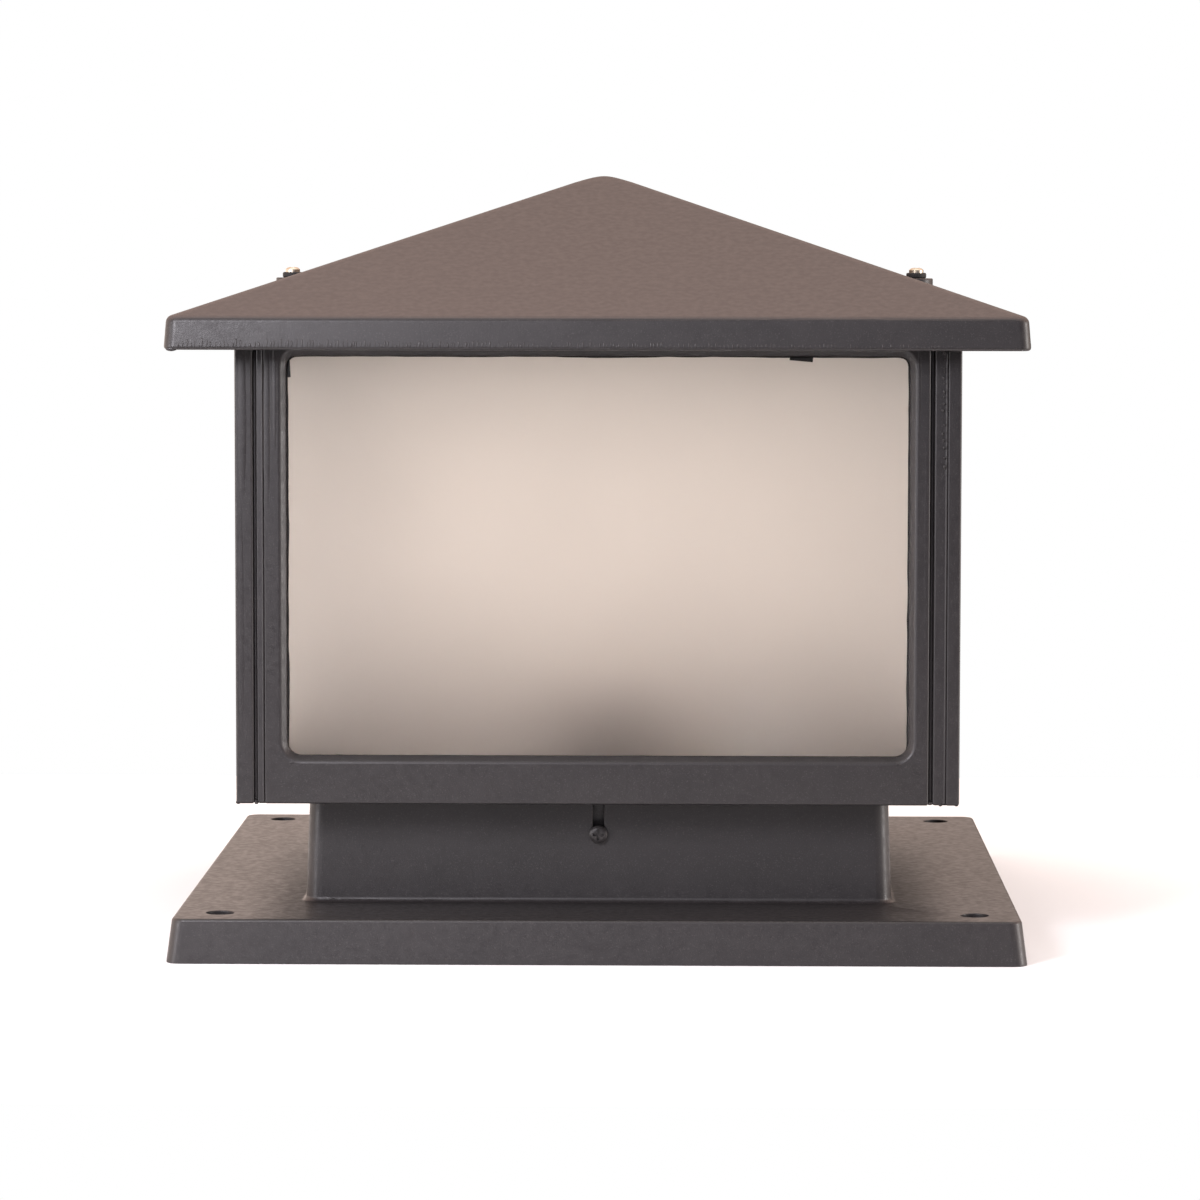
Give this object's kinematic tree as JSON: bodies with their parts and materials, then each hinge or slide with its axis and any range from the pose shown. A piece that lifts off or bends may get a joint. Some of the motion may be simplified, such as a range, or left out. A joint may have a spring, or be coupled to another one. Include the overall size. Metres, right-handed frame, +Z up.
{
  "type": "pillar light",
  "caption": "Square outdoor pillar light: a cast pedestal, a framed lantern with frosted panes round a screw lamp holder, and a lift-off pyramid roof.",
  "frame": {"origin": "middle of the pedestal's underside, on the plane it stands on", "axes": "+Z up, -Y towards the front, +X to the right seen from the front"},
  "size_m": [0.304, 0.304, 0.2782],
  "materials": {
    "powder_coat": "satin",
    "frosted_glass": "matte",
    "seal_rubber": "matte",
    "plated_steel": "satin",
    "dark_screw": "satin",
    "roof_screw": "satin",
    "porcelain": "gloss",
    "contact_brass": "satin",
    "block_plastic": "matte",
    "live_insulation": "satin",
    "neutral_insulation": "satin",
    "earth_insulation": "satin"
  },
  "bodies": {
    "pedestal": {"pedestal": "powder_coat"},
    "lantern": {"lantern_floor": "powder_coat", "front_frame": "powder_coat", "right_frame": "powder_coat", "back_frame": "powder_coat", "left_frame": "powder_coat", "front_pane": "frosted_glass", "front_seal": "seal_rubber", "right_pane": "frosted_glass", "right_seal": "seal_rubber", "back_pane": "frosted_glass", "back_seal": "seal_rubber", "left_pane": "frosted_glass", "left_seal": "seal_rubber", "roof_gasket": "seal_rubber", "cable_grommet": "seal_rubber", "pane_clips": "plated_steel", "pane_clip_screws": "plated_steel", "corner_screws": "plated_steel", "floor_screws": "plated_steel", "holder_bracket": "plated_steel", "bracket_screws": "plated_steel", "holder_screws": "plated_steel", "block_screws": "plated_steel", "earth_screw": "plated_steel", "neck_screws": "dark_screw", "holder_body": "porcelain", "socket_shell": "contact_brass", "centre_contact": "contact_brass", "clamp_screws": "contact_brass", "earth_tag": "contact_brass", "terminal_block": "block_plastic", "live_lead": "live_insulation", "neutral_lead": "neutral_insulation", "earth_lead": "earth_insulation"},
    "roof": {"roof": "powder_coat", "roof_washers": "seal_rubber", "roof_screws": "roof_screw"}
  },
  "joints": [
    {"name": "lantern_lift", "type": "slide", "parent": "pedestal", "child": "lantern", "axis": [0, 0, 1], "range_m": [0, 0.08]},
    {"name": "roof_lift", "type": "slide", "parent": "lantern", "child": "roof", "axis": [0, 0, 1], "range_m": [0, 0.12]}
  ]
}
